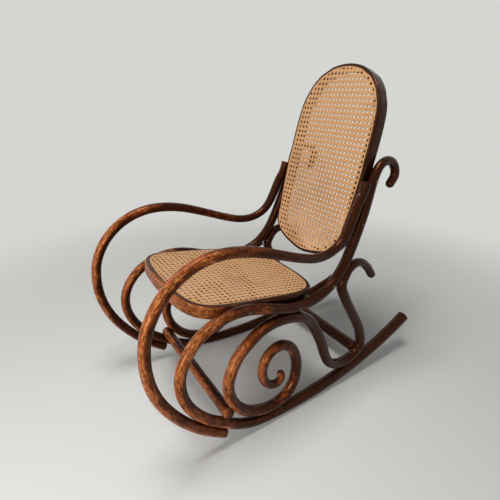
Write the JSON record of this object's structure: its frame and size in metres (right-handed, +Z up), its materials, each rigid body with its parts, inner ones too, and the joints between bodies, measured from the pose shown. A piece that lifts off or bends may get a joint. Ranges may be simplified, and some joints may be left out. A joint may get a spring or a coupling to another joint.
{
  "type": "bentwood rocking chair",
  "caption": "Bentwood rocking chair: side frames of bent rods with looped arms and scrolls on curved runners, caned seat and tall oval caned back.",
  "frame": {"origin": "middle of the base of the bounding box, on the floor", "axes": "+Z up, the sitter faces -Y, the sitter's left is +X"},
  "size_m": [0.5326, 1.0814, 1.0677],
  "materials": {
    "bentwood": "dark reddish brown stain with a worn gloss varnish, rubbed to orange brown on the outer faces",
    "cane": "woven cane, pinkish tan, darkened in places",
    "steel": "dull domed screw heads"
  },
  "bodies": {
    "root": {"arm_left": "bentwood", "arm_right": "bentwood", "back_cane": "cane", "back_ring": "bentwood", "back_spacer_left": "bentwood", "back_spacer_right": "bentwood", "front_stretcher": "bentwood", "rear_stretcher": "bentwood", "runner_left": "bentwood", "runner_right": "bentwood", "screw_arm_foot_left": "steel", "screw_arm_foot_right": "steel", "screw_arm_post_left": "steel", "screw_arm_post_right": "steel", "screw_back_lower_left": "steel", "screw_back_lower_right": "steel", "screw_back_upper_left": "steel", "screw_back_upper_right": "steel", "screw_front_stretcher_left": "steel", "screw_front_stretcher_right": "steel", "screw_rear_stretcher_left": "steel", "screw_rear_stretcher_right": "steel", "screw_scroll_crown_left": "steel", "screw_scroll_crown_right": "steel", "screw_scroll_foot_left": "steel", "screw_scroll_foot_right": "steel", "screw_scroll_loop_left": "steel", "screw_scroll_loop_right": "steel", "screw_scroll_post_left": "steel", "screw_scroll_post_right": "steel", "screw_seat_front_left": "steel", "screw_seat_front_right": "steel", "screw_seat_rear_left": "steel", "screw_seat_rear_right": "steel", "screw_seat_stay_left": "steel", "screw_seat_stay_right": "steel", "scroll_left": "bentwood", "scroll_right": "bentwood", "seat_cane": "cane", "seat_ring": "bentwood", "seat_stay_left": "bentwood", "seat_stay_right": "bentwood", "side_rod_left": "bentwood", "side_rod_right": "bentwood"}
  },
  "joints": []
}
